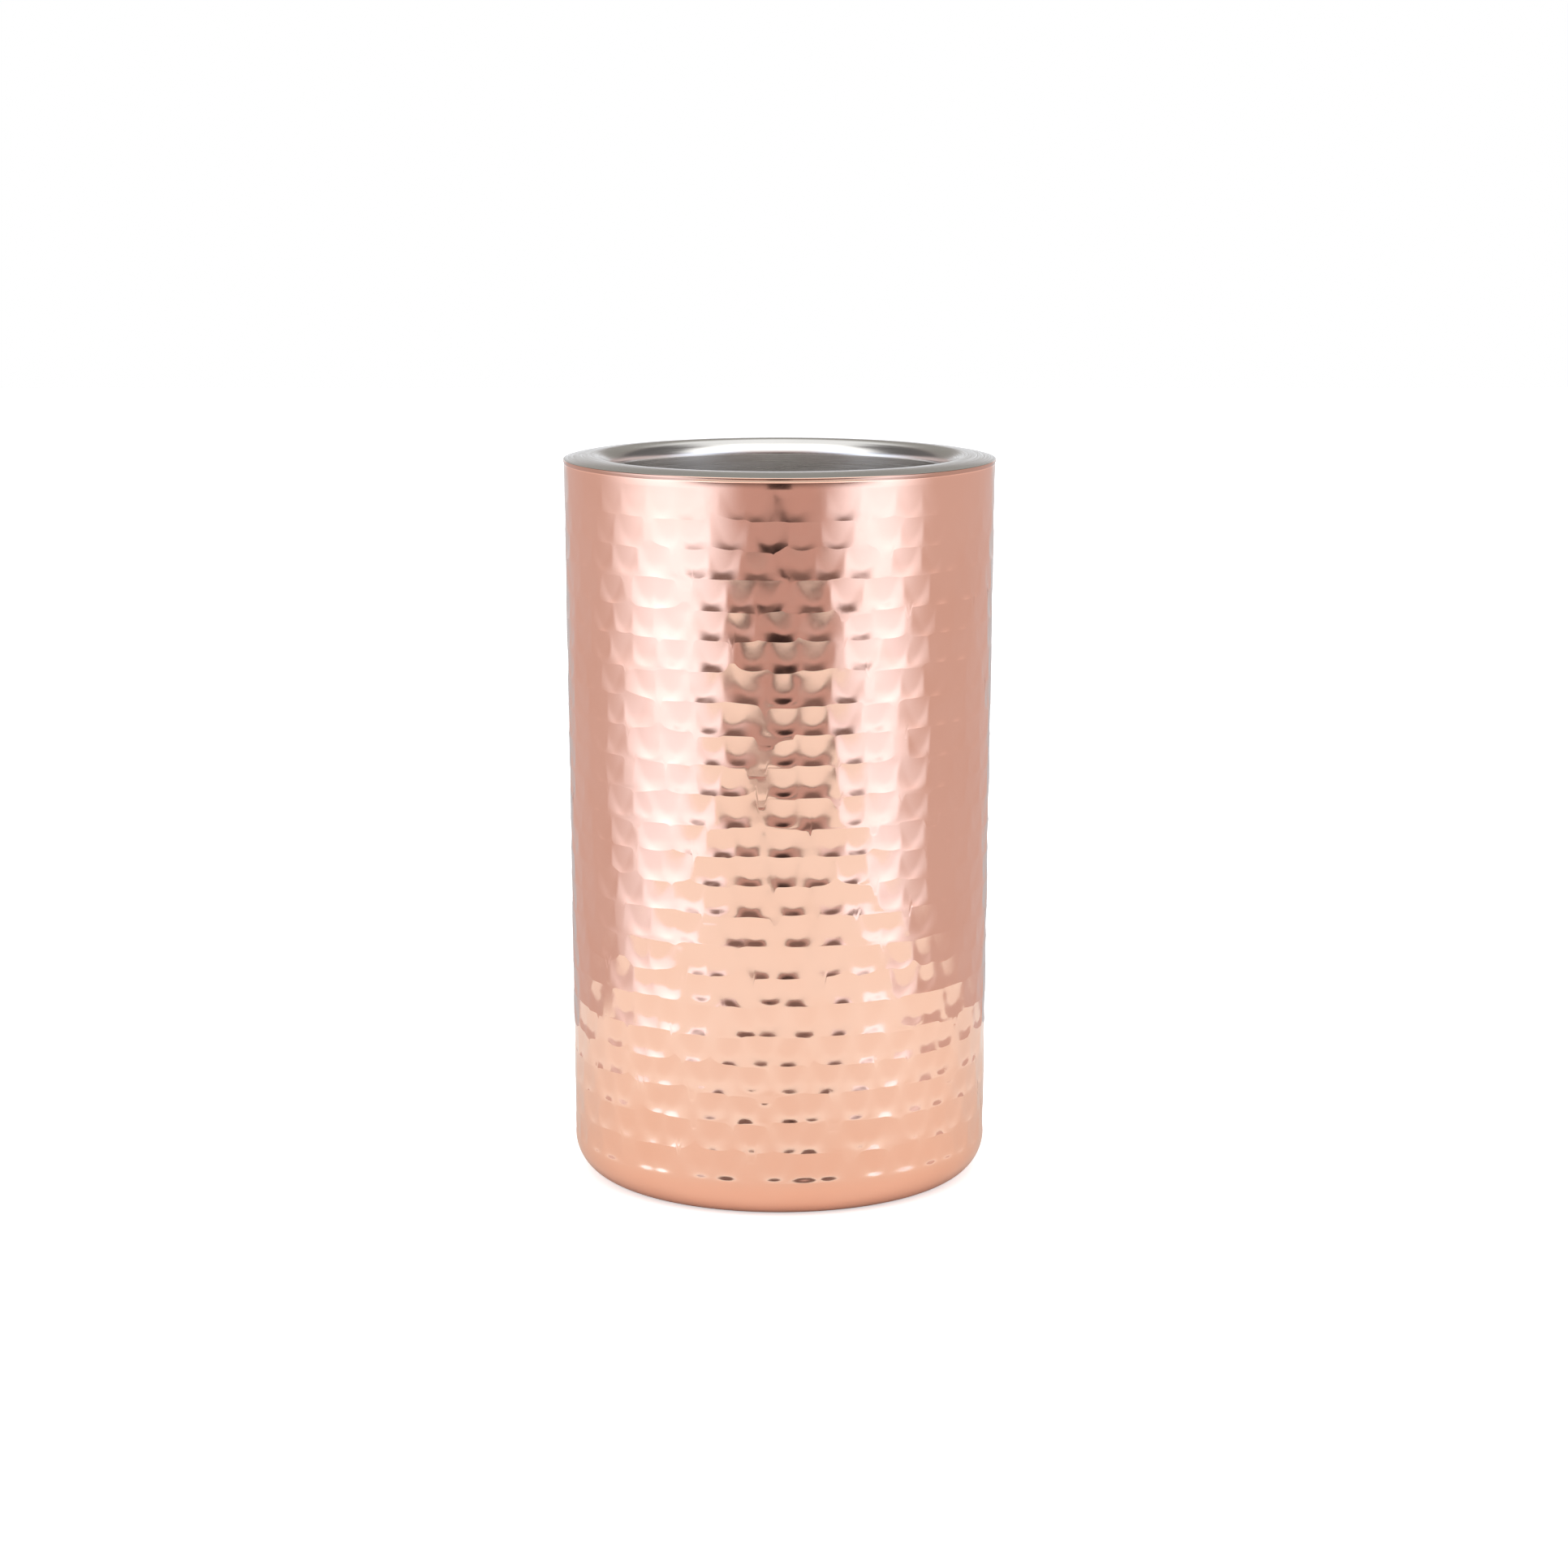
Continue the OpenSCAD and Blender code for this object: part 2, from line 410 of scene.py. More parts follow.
    def ridges(self, angle):
        """Heights of the ridges between the rings, and of the hammering's two ends."""
        heights = [self.edges[0] + 0 * angle]
        for row, edge in enumerate(self.edges[1:-1]):
            low = edge - self.RIDGE_REACH * self.pitch + 0 * angle
            high = edge + self.RIDGE_REACH * self.pitch + 0 * angle
            for _ in range(self.HALVINGS):
                middle = (low + high) / 2
                below = self.ring_depth(row, angle, middle)
                under = below > self.ring_depth(row + 1, angle, middle)
                low, high = np.where(under, middle, low), np.where(under, high, middle)
            heights.append((low + high) / 2)
        return heights + [self.edges[-1] + 0 * angle]


class Sheet:
    """The two faces of the shell's sheet, as outlines."""

    def __init__(self, shell, liner):
        rim_radius, height = LINER_BOX[1].x, LINER_BOX[1].z
        self.rim = SHELL_BOX[1].x
        centre, flange_radius, _ = flange_arc(liner, rim_radius, height)
        under = flange_radius - liner.sheet
        x = self.rim - shell.top_bend
        rise = math.sqrt((under - shell.top_bend) ** 2 - (x - centre[0]) ** 2)
        self.bend = (x, centre[1] + rise)
        self.lip = (centre, under, math.degrees(math.atan2(rise, x - centre[0])),
                    math.degrees(math.acos((self.rim - shell.lip_width - centre[0]) / under)))
        self.corner = (shell.base_radius - shell.corner_radius, shell.corner_radius)
        self.opening = (shell.opening_radius + shell.opening_bend, shell.opening_bend)
        self.normal = normal_angle(self.corner, self.bend, shell.corner_radius - shell.top_bend)
        self.shell = shell

    def wall_radius(self, height):
        """Radius of the nominal outer wall at a height."""
        n = math.radians(self.normal)
        r = self.corner[0] + self.shell.corner_radius * math.cos(n)
        z = self.corner[1] + self.shell.corner_radius * math.sin(n)
        return r - (height - z) * math.tan(n)

    def above_wall(self, depth):
        """Top of the wall, bend and lip, at a depth below the outer face, upwards."""
        centre, under, start, end = self.lip
        return (arc(self.bend, self.shell.top_bend - depth, self.normal, start, 7)
                + arc(centre, under - depth, start, end, 4, skip=1))

    def below_wall(self, depth):
        """Collar, opening's bend, foot and corner, at a depth below the outer face, upwards."""
        shell = self.shell
        return ([(shell.opening_radius + depth, shell.collar_height)]
                + arc(self.opening, shell.opening_bend - depth, 180, 270, 7)
                + arc(self.corner, shell.corner_radius - depth, -90, self.normal, 20))


def hammered_shell(shell, hammer, liner):
    """The copper shell's mesh: rings from the collar, up the dented wall, and back inside."""
    sheet = Sheet(shell, liner)
    hammering = Hammering(hammer, sheet.rim)
    columns = shell.columns
    angles = np.linspace(0, 2 * math.pi, columns, endpoint=False)
    cos, sin = np.cos(angles), np.sin(angles)
    steps = shell.ring_steps

    def plain(r, z):
        return np.stack([r * cos, r * sin, np.full(columns, z)], 1)

    def dented(z, depth):
        r = sheet.wall_radius(z) - np.maximum(depth, 0)
        return np.stack([r * cos, r * sin, z], 1)

    rings = [plain(r, z) for r, z in sheet.below_wall(0)]
    sharp_rings = []
    ridges = hammering.ridges(angles)
    for row in range(hammer.rows):
        low, high = ridges[row], ridges[row + 1]
        sharp_rings.append(len(rings))
        for step in range(steps):
            z = low + (high - low) * (step / steps) ** 1.5   # closer together in the curl
            rings.append(dented(z, hammering.ring_depth(row, angles, z)))
    sharp_rings.append(len(rings))
    rings.append(dented(ridges[-1], 0 * angles))
    rings += [plain(r, z) for r, z in sheet.above_wall(0)]
    rings += [plain(r, z) for r, z in reversed(sheet.above_wall(shell.sheet))]
    inside_low, inside_high = sheet.below_wall(shell.sheet)[-1], sheet.above_wall(shell.sheet)[0]
    for part in np.linspace(0, 1, 25)[1:-1]:
        r = inside_high[0] + (inside_low[0] - inside_high[0]) * part
        z = inside_high[1] + (inside_low[1] - inside_high[1]) * part
        backed = min(1.0, 20 * part, 20 * (1 - part))   # eases in and out at the wall's ends
        rings.append(plain(r - shell.backing * backed, z))
    rings += [plain(r, z) for r, z in reversed(sheet.below_wall(shell.sheet))]

    mesh = ring_mesh("hammered_shell", rings, closed=True)
    face_outward(mesh)
    edges = np.empty(len(mesh.edges) * 2, np.int32)
    mesh.edges.foreach_get("vertices", edges)
    ring_of = edges.reshape(-1, 2) // columns
    sharp = (ring_of[:, 0] == ring_of[:, 1]) & np.isin(ring_of[:, 0], sharp_rings)
    mesh.set_sharp_from_angle(angle=math.radians(40))
    marks = (mesh.attributes.get("sharp_edge")
             or mesh.attributes.new("sharp_edge", "BOOLEAN", "EDGE"))
    already = np.zeros(len(mesh.edges), bool)
    marks.data.foreach_get("value", already)
    marks.data.foreach_set("value", already | sharp)
    return mesh


# Materials ----------------------------------------------------------------------------------

class Wiring:
    """Adds shader nodes to a tree and joins them."""

    def __init__(self, tree):
        self.tree = tree
        tree.nodes.clear()

    def add(self, kind, **sockets):
        node = self.tree.nodes.new(kind)
        for name, value in sockets.items():
            self.put(node, name.replace("_", " "), value)
        return node

    def put(self, node, name, value):
        socket = node.inputs[name]
        if isinstance(value, bpy.types.NodeSocket):
            self.tree.links.new(value, socket)
        else:
            socket.default_value = value

    def sum(self, operation, *values, clamp=False):
        """The result of a Math node."""
        node = self.tree.nodes.new("ShaderNodeMath")
        node.operation = operation
        node.use_clamp = clamp
        for index, value in enumerate(values):
            self.put(node, index, value)
        return node.outputs[0]

    def step(self, value, low, high, to_low=0.0, to_high=1.0):
        """A smooth change as a value goes from low to high."""
        node = self.tree.nodes.new("ShaderNodeMapRange")
        node.interpolation_type = "SMOOTHSTEP"
        for index, item in enumerate((value, low, high, to_low, to_high)):
            self.put(node, index, item)
        return node.outputs[0]

    def band(self, value, start, full, fade, end):
        """1 from full to fade, and 0 up to start and from end."""
        return self.sum("MULTIPLY", self.step(value, start, full),
                        self.step(value, fade, end, 1.0, 0.0))

    def scaled(self, colour, factor):
        """A colour times a number."""
        node = self.tree.nodes.new("ShaderNodeVectorMath")
        node.operation = "SCALE"
        self.put(node, 0, colour)
        self.put(node, "Scale", factor)
        return node.outputs[0]

    def mix(self, factor, a, b):
        """A blend of two colours."""
        node = self.tree.nodes.new("ShaderNodeMix")
        node.data_type = "RGBA"
        self.put(node, 0, factor)
        self.put(node, 6, a)
        self.put(node, 7, b)
        return node.outputs[2]

    def noise(self, vector, scale, detail=2.0, roughness=0.5):
        """The value of a noise texture."""
        node = self.add("ShaderNodeTexNoise", Vector=vector, Scale=scale, Detail=detail,
                        Roughness=roughness)
        return node.outputs[0]

    def polar(self):
        """The radius, angle and height of a point of the object."""
        point = self.add("ShaderNodeTexCoord").outputs["Object"]
        x, y, z = self.add("ShaderNodeSeparateXYZ", Vector=point).outputs
        radius = self.sum("SQRT", self.sum("ADD", self.sum("MULTIPLY", x, x),
                                           self.sum("MULTIPLY", y, y)))
        return point, radius, self.sum("ARCTAN2", y, x), z


def rgba(colour):
    return (*colour, 1.0)


def metal(name):
    """A new metal material: its wiring and its shader."""
    material = bpy.data.materials.new(name)
    material.use_nodes = True
    wiring = Wiring(material.node_tree)
    shader = wiring.add("ShaderNodeBsdfPrincipled", Metallic=1.0)
    output = wiring.add("ShaderNodeOutputMaterial")
    material.node_tree.links.new(shader.outputs[0], output.inputs[0])
    return material, wiring, shader


def bump(wiring, shader, height, distance, strength=1.0):
    node = wiring.add("ShaderNodeBump", Height=height, Distance=distance, Strength=strength)
    wiring.put(shader, "Normal", node.outputs[0])


def copper_finish(finish, name="copper plate", tone=1.0):
    """Bright copper plate: soft blotches of warmer tarnish, polishing haze, specks and grain."""
    material, w, shader = metal(name)
    point, radius, angle, height = w.polar()
    blotch = w.noise(point, 38.0, 3.0, 0.55)
    warm = w.step(blotch, 0.42, 0.72, 0.0, 0.6)
    plate = w.mix(warm, rgba(finish.copper), rgba(finish.copper_warm))
    cells = w.add("ShaderNodeTexVoronoi", Vector=point, Scale=150.0)
    chosen = w.step(w.noise(point, 47.0, 1.0), 0.66, 0.70)
    speck = w.sum("MULTIPLY", w.step(cells.outputs["Distance"], 0.03, 0.06, 1.0, 0.0), chosen)
    plate = w.mix(speck, plate, rgba([0.45 * c for c in finish.copper_warm]))
    # A tone below 1 darkens the plate as painted shade.
    w.put(shader, "Base Color", w.scaled(plate, tone))
    haze = w.noise(point, 160.0, 4.0, 0.6)
    w.put(shader, "Roughness", w.step(haze, 0.3, 0.75, 0.10, 0.16))
    grain = w.noise(point, 900.0, 3.0, 0.6)
    bump(w, shader, grain, 0.004 * MM, 0.5)
    return material


def edge_finish(finish):
    """The copper plate painted darker on the flange's edge and the weld below it, as painted shade
    of the narrow edge.
    """
    return copper_finish(finish, "edge plate with painted shade", 0.72)


def satin_finish(finish):
    """Satin steel, brushed round the axis, and brighter on the lip than inside."""
    material, w, shader = metal("satin steel")
    point, radius, angle, height = w.polar()
    along = w.sum("MULTIPLY", angle, 2.0)
    lines = w.add("ShaderNodeCombineXYZ", X=w.sum("MULTIPLY", radius, 5200.0),
                  Y=along, Z=w.sum("MULTIPLY", height, 5200.0)).outputs[0]
    brushed = w.noise(lines, 1.0, 2.0, 0.6)
    cloud = w.noise(point, 45.0, 3.0, 0.5)
    w.put(shader, "Base Color", w.mix(w.step(cloud, 0.35, 0.7, 0.0, 0.35), rgba(finish.steel),
                                      rgba([0.86 * c for c in finish.steel])))
    rim = LINER_BOX[1].z
    duller = w.step(height, rim - 14 * MM, rim - 4 * MM, 0.2, 0.0)
    w.put(shader, "Roughness", w.sum("ADD", w.step(brushed, 0.25, 0.75, 0.15, 0.27), duller))
    shader.inputs["Anisotropic"].default_value = 0.55
    tangent = w.add("ShaderNodeTangent")
    tangent.direction_type = "RADIAL"
    tangent.axis = "Z"
    w.put(shader, "Tangent", tangent.outputs[0])
    bump(w, shader, brushed, 0.008 * MM, 0.6)
    return material


def mill_finish(finish):
    """Pressed steel with a dull rolled face."""
    material, w, shader = metal("pressed steel")
    point, radius, angle, height = w.polar()
    cloud = w.noise(point, 60.0, 4.0, 0.6)
    w.put(shader, "Base Color", w.mix(w.step(cloud, 0.3, 0.75), rgba(finish.plate_steel),
                                      rgba([0.8 * c for c in finish.plate_steel])))
    rolled = w.add("ShaderNodeMapping", Vector=point)
    rolled.inputs["Scale"].default_value = (60.0, 2400.0, 60.0)
    lines = w.noise(rolled.outputs[0], 1.0, 3.0, 0.6)
    w.put(shader, "Roughness", w.step(lines, 0.25, 0.75, 0.3, 0.46))
    bump(w, shader, lines, 0.01 * MM, 0.5)
    return material


def weld_finish(finish):
    """A dressed bead: dull, with a trace of heat colour."""
    material, w, shader = metal("dressed weld")
    point, radius, angle, height = w.polar()
    ripple = w.noise(point, 420.0, 3.0, 0.6)
    w.put(shader, "Base Color", w.mix(w.step(ripple, 0.35, 0.7), rgba(finish.weld),
                                      (0.46, 0.38, 0.30, 1.0)))
    w.put(shader, "Roughness", w.step(ripple, 0.3, 0.7, 0.3, 0.5))
    bump(w, shader, ripple, 0.03 * MM, 0.5)
    return material


def plug_finish(finish):
    """Bright steel with faint turning marks."""
    material, w, shader = metal("plug steel")
    point, radius, angle, height = w.polar()
    marks = w.add("ShaderNodeCombineXYZ", X=w.sum("MULTIPLY", radius, 5000.0)).outputs[0]
    lines = w.noise(marks, 1.0, 2.0, 0.5)
    w.put(shader, "Base Color", w.mix(w.noise(point, 300.0), rgba(finish.steel),
                                      rgba(finish.plate_steel)))
    w.put(shader, "Roughness", w.step(lines, 0.3, 0.7, 0.18, 0.3))
    bump(w, shader, lines, 0.006 * MM, 0.5)
    return material


# Operators ----------------------------------------------------------------------------------

class ICEBUCKET_OT_outer_shell(bpy.types.Operator):
    """Build the hammered copper shell"""
    bl_idname = "icebucket.outer_shell"
    bl_label = "Hammered Shell"

    def execute(self, context):
        mesh = hammered_shell(settings(ShellSettings), settings(HammerSettings),
                              settings(LinerSettings))
        piece("hammered_shell", mesh, copper_finish(settings(FinishSettings)),
              "hammered_copper", "outer_shell")
        return {"FINISHED"}


def liner_face(liner, depth):
    """The liner's face at a depth below its inner face, from the floor to the flange's edge."""
    rim_radius, height = LINER_BOX[1].x, LINER_BOX[1].z
    centre, flange_radius, edge = flange_arc(liner, rim_radius, height)
    floor = LINER_BOX[0].z + liner.sheet
    corner = (liner.base_radius - liner.corner_radius, floor + liner.corner_radius)
    roll = (centre[0], height - liner.roll)
    normal = normal_angle(corner, roll, liner.corner_radius + liner.roll)
    outline = [(r, floor - depth) for r in np.linspace(0, corner[0], 12)[:-1]]
    outline += arc(corner, liner.corner_radius + depth, -90, normal, 16)
    low = outline[-1]
    rolled = arc(roll, liner.roll - depth, 180 + normal, 90, 18)
    high = rolled[0]
    outline += [(low[0] + (high[0] - low[0]) * t, low[1] + (high[1] - low[1]) * t)
                for t in np.linspace(0, 1, 24)[1:-1]]
    return outline + rolled + arc(centre, flange_radius - depth, 90, edge, 14, skip=1)


class ICEBUCKET_OT_inner_liner(bpy.types.Operator):
    """Build the brushed steel liner with its rolled mouth and wide flange, plated on its edge"""
    bl_idname = "icebucket.inner_liner"
    bl_label = "Steel Liner"

    def execute(self, context):
        liner = settings(LinerSettings)
        upper, under = liner_face(liner, 0), liner_face(liner, liner.sheet)
        foot = (upper[-1][0], under[-1][1])
        outline = (upper[:-1] + rounded(upper[-2], upper[-1], foot, liner.edge_radius) + [foot]
                   + under[::-1])
        mesh = turned("steel_liner", outline, columns=320)
        obj = piece("steel_liner", mesh, satin_finish(settings(FinishSettings)), "satin_steel",
                    "inner_liner")
        # The flange's edge takes the copper plate painted darker, as painted shade.
        obj.data.materials.append(edge_finish(settings(FinishSettings)))
        for face in mesh.polygons:
            outward = face.center.xy.length > LINER_BOX[1].x - liner.edge_radius
            if outward and face.normal.xy.length > 0.5:
                face.material_index = 1
        return {"FINISHED"}


def plate_face(base, depth):
    """The plate's face at a depth in from its underside, from the vent to the skirt's end."""
    radius, recess = PLATE_BOX[1].x, PLATE_BOX[0].z
    panel = recess + base.panel_depth
    bend = (radius - base.bend, recess + base.bend)
    slope = [(base.panel_radius + base.panel_depth * t,
              panel + depth - base.panel_depth * (t * t * (3 - 2 * t)))
             for t in np.linspace(0, 1, 9)]
    return ([(base.vent_radius, panel + depth), (base.panel_radius * 0.5, panel + depth)] + slope
            + arc(bend, base.bend - depth, -90, 0, 8)
            + [(radius - depth, PLATE_BOX[1].z)])


class ICEBUCKET_OT_base_plate(bpy.types.Operator):
    """Build the pressed plate that closes the underside"""
    bl_idname = "icebucket.base_plate"
    bl_label = "Base Plate"

    def execute(self, context):
        base = settings(BaseSettings)
        outline = plate_face(base, 0) + plate_face(base, base.sheet)[::-1]
        mesh = turned("pressed_base", outline, columns=256, closed=True)
        piece("pressed_base", mesh, mill_finish(settings(FinishSettings)), "pressed_steel",
              "base_plate")
        return {"FINISHED"}


def rim_bead(shell, liner):
    """Outline of the bead between the flange's underside and the shell's top bend."""
    sheet = Sheet(shell, liner)
    centre, under, start, _ = sheet.lip
    edge = flange_arc(liner, LINER_BOX[1].x, LINER_BOX[1].z)[2]
    covered = (start - 29, start - 59)   # the angles of the bend that the bead lies on
    bend = arc(sheet.bend, shell.top_bend, *covered, 4)
    flange = arc(centre, under, start, edge, 5, skip=1)
    low, high = bend[-1], flange[-1]
    face = [(low[0] + (high[0] - low[0]) * t, low[1] + (high[1] - low[1]) * t,
             math.sin(math.pi * t)) for t in np.linspace(0, 1, 6)[1:-1]]
    return bend + face + flange[::-1]


def base_bead(shell, base):
    """Outline of the bead between the opening's collar and the base plate's bend."""
    centre = (PLATE_BOX[1].x - base.bend, PLATE_BOX[0].z + base.bend)
    covered = (-60, -22.5)   # the angles of the plate's bend that the bead lies on
    bend = arc(centre, base.bend, *covered, 5)
    low, high = bend[0], bend[-1]
    face = [(low[0] + (shell.opening_radius - low[0]) * t, low[1], math.sin(math.pi * t))
            for t in np.linspace(0, 1, 6)[1:-1]]
    return bend + [(shell.opening_radius, high[1]), (shell.opening_radius, low[1])] + face[::-1]


class ICEBUCKET_OT_welds(bpy.types.Operator):
    """Build the two weld beads, at the rim and round the base plate"""
    bl_idname = "icebucket.welds"
    bl_label = "Weld Beads"

    def execute(self, context):
        shell, finish = settings(ShellSettings), settings(FinishSettings)
        outline = rim_bead(shell, settings(LinerSettings))
        mesh = turned("rim_bead", outline, columns=480, closed=True, ripple=-0.02 * MM)
        # The rim bead takes the same copper plate painted darker, as painted shade.
        piece("rim_bead", mesh, edge_finish(finish), "hammered_copper", "rim_weld")
        outline = base_bead(shell, settings(BaseSettings))
        mesh = turned("base_bead", outline, columns=480, closed=True, ripple=-0.05 * MM)
        piece("base_bead", mesh, weld_finish(finish), "weld", "base_weld")
        return {"FINISHED"}


class ICEBUCKET_OT_vent_plug(bpy.types.Operator):
    """Build the domed plug that closes the vent"""
    bl_idname = "icebucket.vent_plug"
    bl_label = "Vent Plug"

    def execute(self, context):
        base = settings(BaseSettings)
        head = PLUG_BOX[1].x
        low = PLUG_BOX[0].z
        dome = (head ** 2 + base.head_height ** 2) / (2 * base.head_height)
        half = math.degrees(math.asin(head / dome))
        under = low + base.head_height
        inside = under + base.sheet
        outline = arc((0, low + dome), dome, -90, -90 + half, 12)
        outline[0] = (0.0, low)
        outline += [(base.vent_radius, under), (base.vent_radius, inside),
                    (base.vent_radius + base.spread, inside),
                    (base.vent_radius + base.spread, inside + base.spread),
                    (0.0, inside + base.spread)]
        mesh = turned("vent_stopper", outline, columns=64)
        piece("vent_stopper", mesh, plug_finish(settings(FinishSettings)), "plug", "vent_plug")
        return {"FINISHED"}


def studio_light(studio):
    """The room that the metal mirrors. Its shapes are given by two angles in degrees: turn, round
    from the front, negative to the left, and rise, above level."""
    world = bpy.context.scene.world or bpy.data.worlds.new("studio")
    bpy.context.scene.world = world
    world.use_nodes = True
    w = Wiring(world.node_tree)
    direction = w.add("ShaderNodeTexCoord").outputs["Generated"]
    x, y, z = w.add("ShaderNodeSeparateXYZ", Vector=direction).outputs
    turn = w.sum("MULTIPLY", w.sum("ARCTAN2", x, w.sum("MULTIPLY", y, -1.0)), 180 / math.pi)
    rise = w.sum("MULTIPLY", w.sum("ARCSINE", z), 180 / math.pi)
    away = w.sum("ABSOLUTE", turn)

    rear = w.scaled(tuple(studio.room_rear), w.step(rise, -5, 8, 1.0, 1.25))
    walls = w.mix(w.step(away, 12, 60), rgba(studio.room_front), rear)
    behind = w.sum("MULTIPLY", w.step(away, 120, 150), w.step(rise, 6, 14))
    walls = w.mix(behind, walls, rgba(studio.room_back))
    backdrop = w.sum("MULTIPLY", w.step(away, 152, 164), w.band(rise, -30, -20, 7, 12))
    pale = w.scaled(tuple(studio.horizon), w.step(rise, -9, 2, 0.5, 1.0))
    walls = w.mix(backdrop, walls, pale)
    walls = w.mix(w.step(rise, 38, 58), walls, rgba(studio.room_high))

    boxes = w.sum("ADD", w.band(turn, -114, -64, -44, -17), w.band(turn, 19, 46, 54, 92))
    boxes = w.sum("MULTIPLY", boxes, w.step(rise, 45, 60, 1.0, 0.0))
    box_light = w.scaled(tuple(studio.boxes), w.step(rise, -20, 8, 0.76, 1.2))
    lit = w.mix(boxes, walls, box_light)
    gloom = w.sum("MULTIPLY", w.step(away, 34, 62, 1.0, 0.0), w.band(rise, -6, 0, 9, 15))
    lit = w.mix(gloom, lit, rgba(studio.room_dark))
    flanks = w.sum("MULTIPLY", w.band(away, 58, 78, 132, 146), w.band(rise, 10, 20, 52, 66))
    lit = w.mix(flanks, lit, rgba(studio.room_flank))
    ceiling = w.sum("MULTIPLY", w.step(away, 60, 85, 1.0, 0.0), w.band(rise, 12, 36, 74, 80))
    lit = w.mix(ceiling, lit, rgba(studio.ceiling))

    background = w.add("ShaderNodeBackground", Color=lit, Strength=1.0)
    white = w.add("ShaderNodeBackground", Color=(1.0, 1.0, 1.0, 1.0), Strength=1.0)
    mixed = w.add("ShaderNodeMixShader")
    w.put(mixed, 0, w.add("ShaderNodeLightPath").outputs["Is Camera Ray"])
    w.put(mixed, 1, background.outputs[0])
    w.put(mixed, 2, white.outputs[0])
    output = w.add("ShaderNodeOutputWorld")
    w.put(output, 0, mixed.outputs[0])


def stage_panel(name, corners, material):
    """A flat panel of the stage."""
    mesh = bpy.data.meshes.new(name)
    mesh.from_pydata(corners, [], [tuple(range(len(corners)))])
    mesh.materials.append(material)
    obj = bpy.data.objects.new(name, mesh)
    bpy.context.scene.collection.objects.link(obj)
    return obj


def table_panel(name, front, side, back, height, material):
    """A level panel with a straight front edge and a rounded back."""
    turns = np.linspace(0, math.pi / 2, 32)
    right = [(side * math.sqrt(abs(math.cos(a))), -front + (front + back) * math.sin(a), height)
             for a in turns]
    left = [(-x, y, z) for x, y, z in reversed(right[:-1])]
    return stage_panel(name, right + left, material)


def seen_by_camera_only(obj):
    obj.visible_diffuse = obj.visible_glossy = obj.visible_transmission = False
    obj.visible_shadow = obj.visible_volume_scatter = False


def stage_material(name, tone, glow_strength=0.0):
    """A matt material: its wiring and its shader."""
    material = bpy.data.materials.new(name)
    material.use_nodes = True
    w = Wiring(material.node_tree)
    shader = w.add("ShaderNodeBsdfPrincipled", Roughness=0.7)
    shader.inputs["Specular IOR Level"].default_value = 0.0
    w.put(shader, "Base Color", rgba(tone))
    if glow_strength:
        w.put(shader, "Emission Color", rgba(tone))
        w.put(shader, "Emission Strength", glow_strength)
    output = w.add("ShaderNodeOutputMaterial", Surface=shader.outputs[0])
    return material, w, shader, output


def floor_material():
    """Pale floor, which can't be seen from below."""
    material, w, shader, output = stage_material("pale floor", (0.9, 0.9, 0.9), 0.62)
    behind = w.add("ShaderNodeNewGeometry").outputs["Backfacing"]
    mixed = w.add("ShaderNodeMixShader")
    w.put(mixed, 0, behind)
    w.put(mixed, 1, shader.outputs[0])
    w.put(mixed, 2, w.add("ShaderNodeBsdfTransparent").outputs[0])
    w.put(output, "Surface", mixed.outputs[0])
    return material


def table_material(studio):
    """Pale table, painted a little warmer and darker next to the bucket: painted light that the
    copper throws on it, and painted shade.
    """
    material, w, shader, output = stage_material("pale table", studio.table_far)
    point, radius, angle, height = w.polar()
    # Painted copper light and painted shade near the bucket, fading out by 0.26 m.
    w.put(shader, "Base Color", w.mix(w.step(radius, 0.05, 0.26), rgba(studio.table_near_painted_light_and_shade),
                                      rgba(studio.table_far)))
    return material


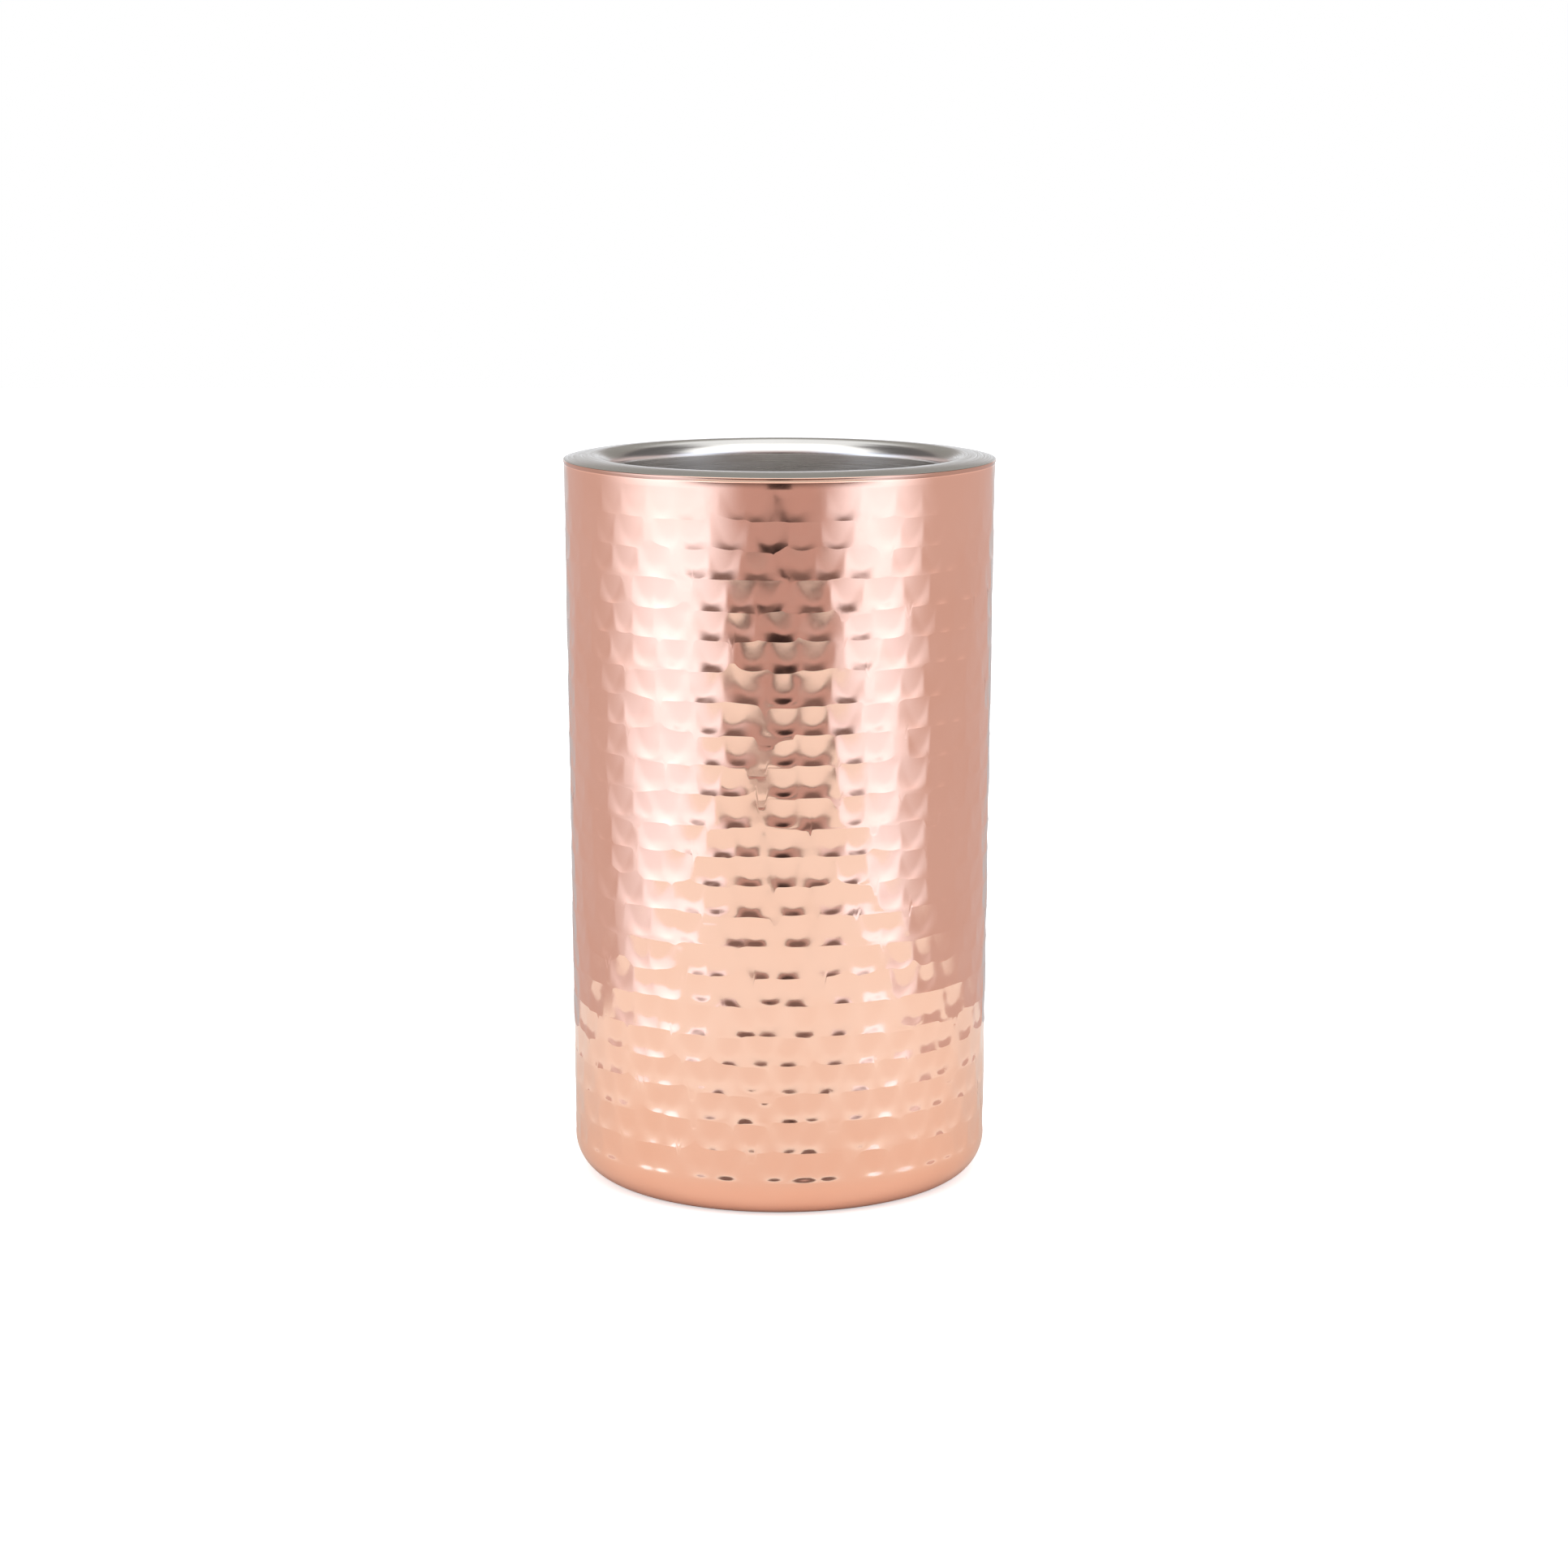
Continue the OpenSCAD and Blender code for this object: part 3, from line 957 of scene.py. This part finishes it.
def stage(studio):
    """The floor that the camera sees, and the table and the dark shapes that the metal mirrors."""
    far = studio.floor_size
    floor = stage_panel("floor", [(-far, -far, 0), (far, -far, 0), (far, far, 0), (-far, far, 0)],
                        floor_material())
    seen_by_camera_only(floor)
    under = -0.1 * MM   # the table that the metal mirrors lies just below the foot
    front, side, back = studio.table_front, studio.table_side, studio.table_back
    top = table_panel("table_top", front, side, back, under, table_material(studio))
    dark = stage_material("dark", (0.05, 0.035, 0.035))[0]
    shade = table_panel("table_shade", front + studio.shade_front, side, back, 2 * under, dark)
    half = studio.card_width / 2
    behind = -studio.camera_distance - 0.04   # just behind the camera
    card = stage_panel("camera_card", [(-half, behind, studio.card_low),
                                       (half, behind, studio.card_low),
                                       (half, behind, studio.card_high),
                                       (-half, behind, studio.card_high)], dark)
    for obj in (top, shade, card):
        obj.visible_camera = False


class ICEBUCKET_OT_studio(bpy.types.Operator):
    """Set up the floor, the table, the light and the camera"""
    bl_idname = "icebucket.studio"
    bl_label = "Studio"

    def execute(self, context):
        studio = settings(StudioSettings)
        scene = context.scene
        data = bpy.data.cameras.new("camera")
        data.lens = studio.camera_lens
        data.sensor_width = 36.0
        data.shift_x = studio.camera_shift
        data.clip_start = 0.01
        camera = bpy.data.objects.new("camera", data)
        camera.location = (0, -studio.camera_distance, studio.camera_height)
        camera.rotation_euler = (math.pi / 2 - studio.camera_pitch, 0, 0)
        scene.collection.objects.link(camera)
        scene.camera = camera
        studio_light(studio)
        stage(studio)
        scene.view_settings.view_transform = "Standard"
        return {"FINISHED"}


OPERATORS = (ICEBUCKET_OT_studio, ICEBUCKET_OT_outer_shell, ICEBUCKET_OT_inner_liner,
             ICEBUCKET_OT_base_plate, ICEBUCKET_OT_welds, ICEBUCKET_OT_vent_plug)


class ICEBUCKET_PT_panel(bpy.types.Panel):
    """Lists the bucket's pieces"""
    bl_label = "Ice Bucket"
    bl_space_type = "VIEW_3D"
    bl_region_type = "UI"
    bl_category = "Ice Bucket"

    def draw(self, context):
        for operator in OPERATORS:
            self.layout.operator(operator.bl_idname)


CLASSES = (*GROUPS, *OPERATORS, ICEBUCKET_PT_panel)


def register():
    for item in CLASSES:
        bpy.utils.register_class(item)
    for group in GROUPS:
        setattr(bpy.types.Scene, group.__name__.lower(), bpy.props.PointerProperty(type=group))


def unregister():
    for group in GROUPS:
        delattr(bpy.types.Scene, group.__name__.lower())
    for item in reversed(CLASSES):
        bpy.utils.unregister_class(item)


def main():
    register()
    for operator in OPERATORS:
        area, name = operator.bl_idname.split(".")
        getattr(getattr(bpy.ops, area), name)()


if __name__ == "__main__":
    main()
